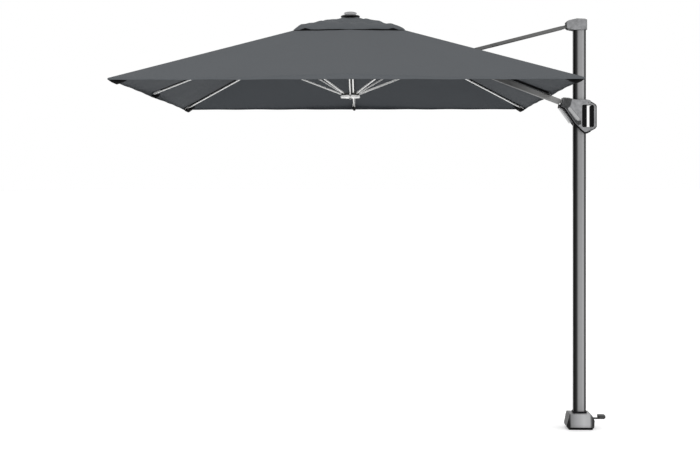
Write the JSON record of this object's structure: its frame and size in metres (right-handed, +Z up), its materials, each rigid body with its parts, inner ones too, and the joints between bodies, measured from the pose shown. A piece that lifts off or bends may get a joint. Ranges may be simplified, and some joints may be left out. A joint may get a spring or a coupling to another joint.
{
  "type": "cantilever patio umbrella",
  "caption": "Free-arm garden umbrella with a square vented canopy on folding ribs, a boom and strut on a tall mast, a sliding grip carriage and a swivelling pedal foot.",
  "frame": {"origin": "on the mast's swivel axis, at the underside of the foot plate", "axes": "+Z up the mast; -X from the mast towards the canopy's centre; the boom, strut and mast lie in the XZ plane"},
  "size_m": [2.841, 2.5, 2.606],
  "materials": {
    "foot_grey": "satin silver-grey powder coat",
    "steel_dark": "satin black powder coat",
    "mast_grey": "satin warm-grey powder coat",
    "arm_grey": "satin olive-grey powder coat",
    "plastic_dark": "fine-grained moulded plastic",
    "plastic_grey": "fine-grained moulded plastic",
    "plastic_light": "smooth light moulded plastic",
    "grip_black": "matt grip",
    "bright_steel": "zinc-plated",
    "rib_silver": "anodised",
    "cloth_grey": "plain-weave polyester"
  },
  "bodies": {
    "base": {"foot_plate": "steel_dark", "foot_housing": "foot_grey", "foot_spindle": "steel_dark", "pedal_pin": "bright_steel"},
    "pedal": {"pedal_arm": "steel_dark", "pedal_pad": "plastic_light"},
    "mast": {"mast_tube": "mast_grey", "mast_collar": "plastic_dark", "head_core": "steel_dark", "head_front": "plastic_grey", "head_back": "plastic_grey", "head_pin": "bright_steel", "head_screws": "bright_steel"},
    "strut": {"strut_tube": "arm_grey", "strut_root": "arm_grey", "strut_fork": "arm_grey", "strut_bolts": "bright_steel", "fork_pin": "bright_steel"},
    "boom": {"boom_tube": "arm_grey", "boom_root": "arm_grey", "boom_tip": "arm_grey"},
    "carriage": {"carriage_front": "plastic_grey", "carriage_back": "plastic_grey", "carriage_pads": "plastic_light", "carriage_pin": "bright_steel", "carriage_screws": "bright_steel", "carriage_grip": "grip_black", "release_pin": "bright_steel"},
    "release": {"release_lever": "plastic_grey"},
    "crown": {"crown": "plastic_dark", "crown_pin": "bright_steel", "stem": "bright_steel", "finial": "bright_steel"},
    "runner": {"runner": "plastic_light"},
    "latch_stick": {"runner_stick": "bright_steel"},
    "rib_e": {"rib_e": "rib_silver", "canopy_e": "cloth_grey"},
    "link_e": {"stretcher_e": "rib_silver"},
    "rib_ne": {"rib_ne": "rib_silver", "canopy_ne": "cloth_grey"},
    "link_ne": {"stretcher_ne": "rib_silver"},
    "rib_n": {"rib_n": "rib_silver", "canopy_n": "cloth_grey"},
    "link_n": {"stretcher_n": "rib_silver"},
    "rib_nw": {"rib_nw": "rib_silver", "canopy_nw": "cloth_grey"},
    "link_nw": {"stretcher_nw": "rib_silver"},
    "rib_w": {"rib_w": "rib_silver", "canopy_w": "cloth_grey"},
    "link_w": {"stretcher_w": "rib_silver"},
    "rib_sw": {"rib_sw": "rib_silver", "canopy_sw": "cloth_grey"},
    "link_sw": {"stretcher_sw": "rib_silver"},
    "rib_s": {"rib_s": "rib_silver", "canopy_s": "cloth_grey"},
    "link_s": {"stretcher_s": "rib_silver"},
    "rib_se": {"rib_se": "rib_silver", "canopy_se": "cloth_grey"},
    "link_se": {"stretcher_se": "rib_silver"}
  },
  "joints": [
    {"name": "mast_swivel", "type": "hinge", "parent": "base", "child": "mast", "pos_m": [0, 0, 0.098], "axis": [0, 0, 1], "continuous": true},
    {"name": "foot_pedal", "type": "hinge", "parent": "base", "child": "pedal", "pos_m": [0.052, 0, 0.07], "axis": [0, 1, 0], "range_deg": [0, 9], "stiffness_Nm_per_rad": 4, "springref_deg": -11.46},
    {"name": "fold", "type": "hinge", "parent": "mast", "child": "strut", "pos_m": [-0.066, 0, 2.52], "axis": [0, -1, 0], "range_deg": [0, 57.5]},
    {"name": "boom_fork", "type": "hinge", "parent": "strut", "child": "boom", "pos_m": [-0.74798, 0, 2.28], "axis": [0, 1, 0], "range_deg": [0, 115.01]},
    {"name": "carriage_pivot", "type": "hinge", "parent": "boom", "child": "carriage", "pos_m": [-0.066, 0, 2.04], "axis": [0, -1, 0], "range_deg": [0, 57.51]},
    {"name": "carriage_release", "type": "hinge", "parent": "carriage", "child": "release", "pos_m": [-0.054, 0, 1.919], "axis": [0, 1, 0], "range_deg": [0, 4], "stiffness_Nm_per_rad": 3, "springref_deg": -11.46},
    {"name": "crown_pivot", "type": "hinge", "parent": "boom", "child": "crown", "pos_m": [-1.432, 0, 2.512], "axis": [0, -1, 0], "range_deg": [0, 57.51]},
    {"name": "rib_e_hinge", "type": "hinge", "parent": "crown", "child": "rib_e", "pos_m": [-1.382, 0, 2.554], "axis": [0, 1, 0], "range_deg": [0, 57.51], "deforming": ["canopy_e"]},
    {"name": "link_e_hinge", "type": "hinge", "parent": "rib_e", "child": "link_e", "pos_m": [-0.7768, 0, 2.321], "axis": [0, -1, 0], "range_deg": [0, 115.01]},
    {"name": "rib_ne_hinge", "type": "hinge", "parent": "crown", "child": "rib_ne", "pos_m": [-1.39664, 0.03535, 2.554], "axis": [-0.7071, 0.7071, 0], "range_deg": [0, 62.81], "deforming": ["canopy_ne"]},
    {"name": "link_ne_hinge", "type": "hinge", "parent": "rib_ne", "child": "link_ne", "pos_m": [-0.97462, 0.45738, 2.37378], "axis": [0.7071, -0.7071, 0], "range_deg": [0, 117.14]},
    {"name": "rib_n_hinge", "type": "hinge", "parent": "crown", "child": "rib_n", "pos_m": [-1.432, 0.05, 2.554], "axis": [-1, 0, 0], "range_deg": [0, 57.51], "deforming": ["canopy_n"]},
    {"name": "link_n_hinge", "type": "hinge", "parent": "rib_n", "child": "link_n", "pos_m": [-1.432, 0.65519, 2.321], "axis": [1, 0, 0], "range_deg": [0, 115.01]},
    {"name": "rib_nw_hinge", "type": "hinge", "parent": "crown", "child": "rib_nw", "pos_m": [-1.46735, 0.03535, 2.554], "axis": [-0.7071, -0.7071, 0], "range_deg": [0, 62.81], "deforming": ["canopy_nw"]},
    {"name": "link_nw_hinge", "type": "hinge", "parent": "rib_nw", "child": "link_nw", "pos_m": [-1.88938, 0.45738, 2.37378], "axis": [0.7071, 0.7071, 0], "range_deg": [0, 117.14]},
    {"name": "rib_w_hinge", "type": "hinge", "parent": "crown", "child": "rib_w", "pos_m": [-1.482, 0, 2.554], "axis": [0, -1, 0], "range_deg": [0, 57.51], "deforming": ["canopy_w"]},
    {"name": "link_w_hinge", "type": "hinge", "parent": "rib_w", "child": "link_w", "pos_m": [-2.08719, 0, 2.321], "axis": [0, 1, 0], "range_deg": [0, 115.01]},
    {"name": "rib_sw_hinge", "type": "hinge", "parent": "crown", "child": "rib_sw", "pos_m": [-1.46735, -0.03535, 2.554], "axis": [0.7071, -0.7071, 0], "range_deg": [0, 62.81], "deforming": ["canopy_sw"]},
    {"name": "link_sw_hinge", "type": "hinge", "parent": "rib_sw", "child": "link_sw", "pos_m": [-1.88938, -0.45738, 2.37378], "axis": [-0.7071, 0.7071, 0], "range_deg": [0, 117.14]},
    {"name": "rib_s_hinge", "type": "hinge", "parent": "crown", "child": "rib_s", "pos_m": [-1.432, -0.05, 2.554], "axis": [1, 0, 0], "range_deg": [0, 57.51], "deforming": ["canopy_s"]},
    {"name": "link_s_hinge", "type": "hinge", "parent": "rib_s", "child": "link_s", "pos_m": [-1.432, -0.65519, 2.321], "axis": [-1, 0, 0], "range_deg": [0, 115.01]},
    {"name": "rib_se_hinge", "type": "hinge", "parent": "crown", "child": "rib_se", "pos_m": [-1.39664, -0.03535, 2.554], "axis": [0.7071, 0.7071, 0], "range_deg": [0, 62.81], "deforming": ["canopy_se"]},
    {"name": "link_se_hinge", "type": "hinge", "parent": "rib_se", "child": "link_se", "pos_m": [-0.97462, -0.45738, 2.37378], "axis": [-0.7071, -0.7071, 0], "range_deg": [0, 117.14]},
    {"name": "runner_pivot", "type": "hinge", "parent": "link_w", "child": "runner", "pos_m": [-1.482, 0, 2.088], "axis": [0, -1, 0], "range_deg": [0, 57.51]},
    {"name": "latch_pull", "type": "slide", "parent": "runner", "child": "latch_stick", "axis": [0, 0, -1], "range_m": [0, 0.012], "stiffness_N_per_m": 400, "springref_m": -0.01}
  ],
  "couplings": [
    {"joint": "boom_fork", "follows": "fold", "ratio": 2},
    {"joint": "carriage_pivot", "follows": "fold", "ratio": 1},
    {"joint": "crown_pivot", "follows": "fold", "ratio": 1},
    {"joint": "rib_e_hinge", "follows": "fold", "ratio": 1},
    {"joint": "link_e_hinge", "follows": "fold", "ratio": 2},
    {"joint": "rib_ne_hinge", "follows": "fold", "ratio": 1.0922},
    {"joint": "link_ne_hinge", "follows": "fold", "ratio": 2.0371},
    {"joint": "rib_n_hinge", "follows": "fold", "ratio": 1},
    {"joint": "link_n_hinge", "follows": "fold", "ratio": 2},
    {"joint": "rib_nw_hinge", "follows": "fold", "ratio": 1.0922},
    {"joint": "link_nw_hinge", "follows": "fold", "ratio": 2.0371},
    {"joint": "rib_w_hinge", "follows": "fold", "ratio": 1},
    {"joint": "link_w_hinge", "follows": "fold", "ratio": 2},
    {"joint": "rib_sw_hinge", "follows": "fold", "ratio": 1.0922},
    {"joint": "link_sw_hinge", "follows": "fold", "ratio": 2.0371},
    {"joint": "rib_s_hinge", "follows": "fold", "ratio": 1},
    {"joint": "link_s_hinge", "follows": "fold", "ratio": 2},
    {"joint": "rib_se_hinge", "follows": "fold", "ratio": 1.0922},
    {"joint": "link_se_hinge", "follows": "fold", "ratio": 2.0371},
    {"joint": "runner_pivot", "follows": "fold", "ratio": 1}
  ]
}
